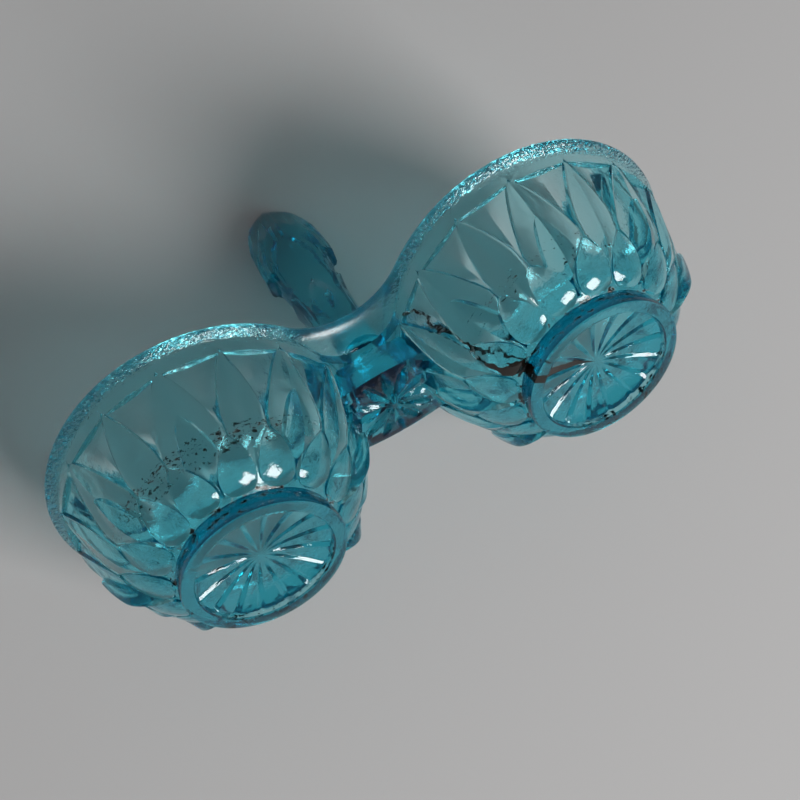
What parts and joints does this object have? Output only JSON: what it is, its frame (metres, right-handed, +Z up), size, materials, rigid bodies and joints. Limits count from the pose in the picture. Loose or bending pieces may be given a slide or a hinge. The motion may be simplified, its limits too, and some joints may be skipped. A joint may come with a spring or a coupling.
{
  "type": "double salt cellar",
  "caption": "Pressed-glass double salt cellar: footed bowls with a petal pattern, joined by a bridge that carries an upright handle, with cut-style stars pressed underneath.",
  "frame": {"origin": "midway between the two feet, on the surface they stand on", "axes": "+X from the left bowl to the right bowl, +Y away from the front, +Z up along the handle"},
  "size_m": [0.1358, 0.064, 0.0896],
  "materials": {
    "teal_pressed_glass": "clear teal soda-lime glass, fire-polished as pressed, with a rough mould line along the rims"
  },
  "bodies": {
    "root": {"left_bowl": "teal_pressed_glass", "right_bowl": "teal_pressed_glass", "left_foot": "teal_pressed_glass", "right_foot": "teal_pressed_glass", "bridge": "teal_pressed_glass", "star_boss": "teal_pressed_glass", "handle_stem": "teal_pressed_glass", "handle_waist": "teal_pressed_glass", "handle_head": "teal_pressed_glass"}
  },
  "joints": []
}
